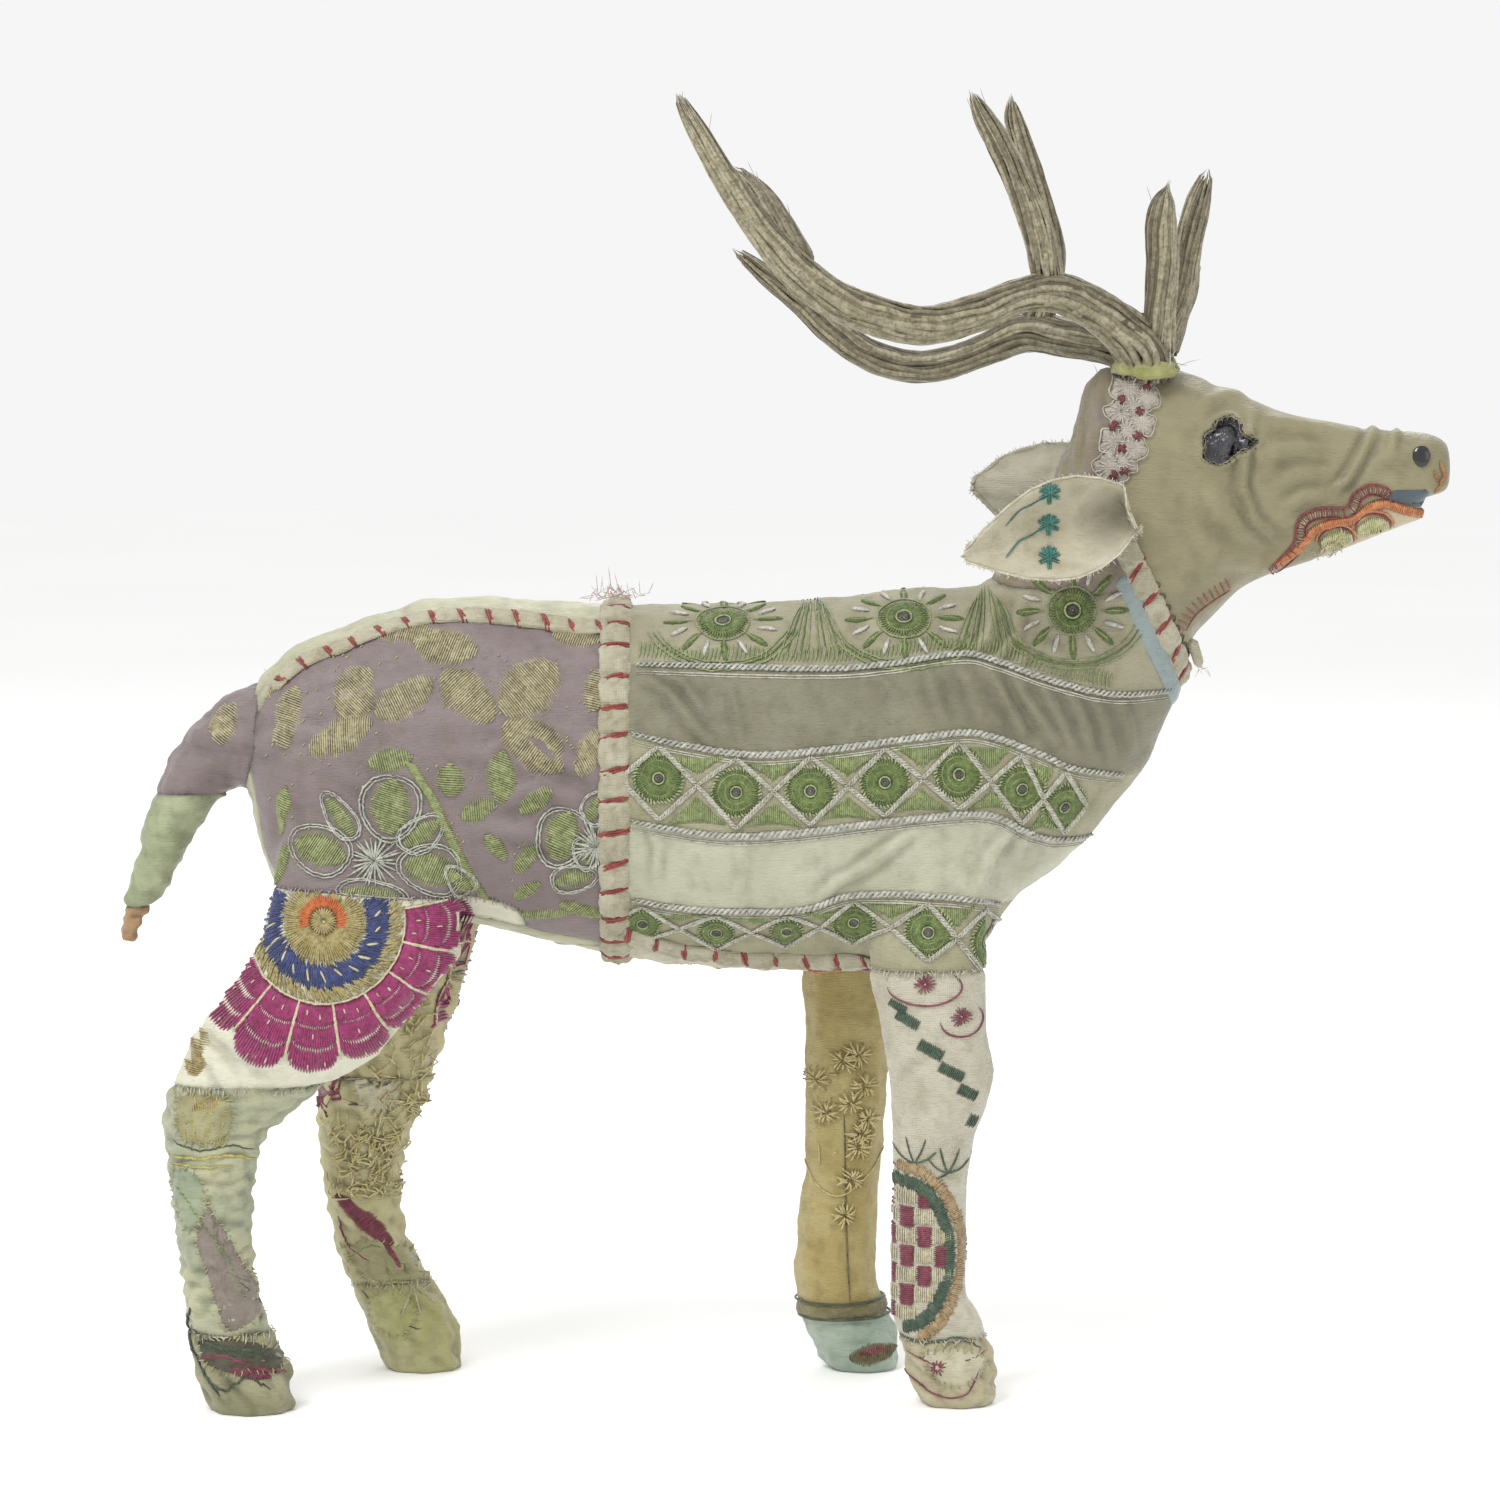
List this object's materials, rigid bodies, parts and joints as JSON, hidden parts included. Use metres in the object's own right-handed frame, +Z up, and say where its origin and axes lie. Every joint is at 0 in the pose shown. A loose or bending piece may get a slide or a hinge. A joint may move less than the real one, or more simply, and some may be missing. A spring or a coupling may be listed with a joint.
{
  "type": "textile-covered stag figure",
  "caption": "Standing stag figure: stuffed form on bent wire, covered in embroidered cloth panels and rolled tapes, with thread-wrapped twig antlers and sewn-on ears.",
  "frame": {"origin": "centre of the figure's box on the ground under its hooves", "axes": "+X towards the head, +Y to the stag's left, +Z up"},
  "size_m": [0.399, 0.09, 0.3917],
  "materials": {
    "stuffing": "packed wood wool and paper, dry and rough",
    "wire_steel": "annealed wire",
    "peg_wood": "whittled, unfinished",
    "rump_cloth": "lilac cotton satin with gold-green satin stitch",
    "back_cloth": "pale green worn silk",
    "flank_cloth": "cream silk with green embroidered bands and silver cord",
    "neck_cloth": "lilac and olive brocade, pleated",
    "belly_cloth": "pale cotton with teal and orange stitches",
    "face_cloth": "plain fawn silk",
    "jaw_cloth": "scalloped embroidery in maroon, orange and pale green",
    "mouth_cloth": "dark slate lining",
    "right_thigh_cloth": "magenta, blue and gold rosette on cream cotton",
    "left_thigh_cloth": "ochre cotton with straw stitches",
    "right_shin_cloth": "pale green silk, wrinkled",
    "left_shin_cloth": "cream and maroon cotton",
    "right_fore_linen": "off-white linen with maroon and green stitching",
    "left_fore_velvet": "ochre velvet, rubbed",
    "hoof_dark_cloth": "dark green and maroon cloth",
    "hoof_olive_cloth": "olive silk",
    "hoof_cream_cloth": "cream cloth with dark lines",
    "hoof_aqua_cloth": "pale aqua silk with a purple-brown patch",
    "cuff_cloth": "olive patterned band",
    "tail_wrap_cloth": "pale green silk wrapped round",
    "tail_tip_cloth": "peach cloth, frayed",
    "tape_cotton": "rolled cream cotton tape, whip-stitched in red",
    "ribbon_silk": "pale blue ribbon",
    "ear_cloth": "stiffened cream cotton with teal sprigs",
    "lace_cotton": "worn needle lace",
    "eye_foil": "dark glossy foil bead",
    "nostril_bead": "black bead",
    "antler_silk": "grey-fawn silk floss wrapped lengthwise"
  },
  "bodies": {
    "root": {"body_core": "stuffing", "head_core": "stuffing", "tail_core": "stuffing", "right_hind_core": "stuffing", "left_hind_core": "stuffing", "right_fore_core": "stuffing", "left_fore_core": "stuffing", "spine_wire": "wire_steel", "right_hind_wire": "wire_steel", "left_hind_wire": "wire_steel", "right_fore_wire": "wire_steel", "left_fore_wire": "wire_steel", "right_antler_peg": "peg_wood", "left_antler_peg": "peg_wood", "right_rump_cover": "rump_cloth", "left_rump_cover": "back_cloth", "flank_cover": "flank_cloth", "neck_cover": "neck_cloth", "belly_panel": "belly_cloth", "face_cover": "face_cloth", "jaw_cover": "jaw_cloth", "mouth_lining": "mouth_cloth", "right_hind_thigh_cover": "right_thigh_cloth", "right_hind_shin_cover": "right_shin_cloth", "left_hind_thigh_cover": "left_thigh_cloth", "left_hind_shin_cover": "left_shin_cloth", "right_fore_cover": "right_fore_linen", "left_fore_cover": "left_fore_velvet", "right_hind_hoof": "hoof_dark_cloth", "left_hind_hoof": "hoof_olive_cloth", "right_fore_hoof": "hoof_cream_cloth", "left_fore_hoof": "hoof_aqua_cloth", "left_fore_cuff": "cuff_cloth", "tail_root_cover": "rump_cloth", "tail_wrap": "tail_wrap_cloth", "tail_tip": "tail_tip_cloth", "girth_tape": "tape_cotton", "spine_tape": "tape_cotton", "belly_tape": "tape_cotton", "collar_tape": "tape_cotton", "collar_ribbon": "ribbon_silk", "throat_tab": "tape_cotton", "right_eye": "eye_foil", "left_eye": "eye_foil", "right_nostril": "nostril_bead", "left_nostril": "nostril_bead", "right_crown_lace": "lace_cotton", "left_crown_lace": "lace_cotton", "right_antler_beam": "antler_silk", "right_upright_tine": "antler_silk", "right_back_tine": "antler_silk", "right_brow_tine": "antler_silk", "left_antler_beam": "antler_silk", "left_upright_tine": "antler_silk", "left_brow_tine": "antler_silk"},
    "right_ear": {"right_ear": "ear_cloth"},
    "left_ear": {"left_ear": "ear_cloth"}
  },
  "joints": [
    {"name": "right_ear_flex", "type": "hinge", "parent": "root", "child": "right_ear", "pos_m": [0.1007, -0.0239, 0.2698], "axis": [-0.2622, 0, 0.965], "range_deg": [-10, 10], "stiffness_Nm_per_rad": 0.06},
    {"name": "left_ear_flex", "type": "hinge", "parent": "root", "child": "left_ear", "pos_m": [0.1007, 0.0247, 0.2698], "axis": [0.0651, 0, 0.9979], "range_deg": [-10, 10], "stiffness_Nm_per_rad": 0.06}
  ]
}
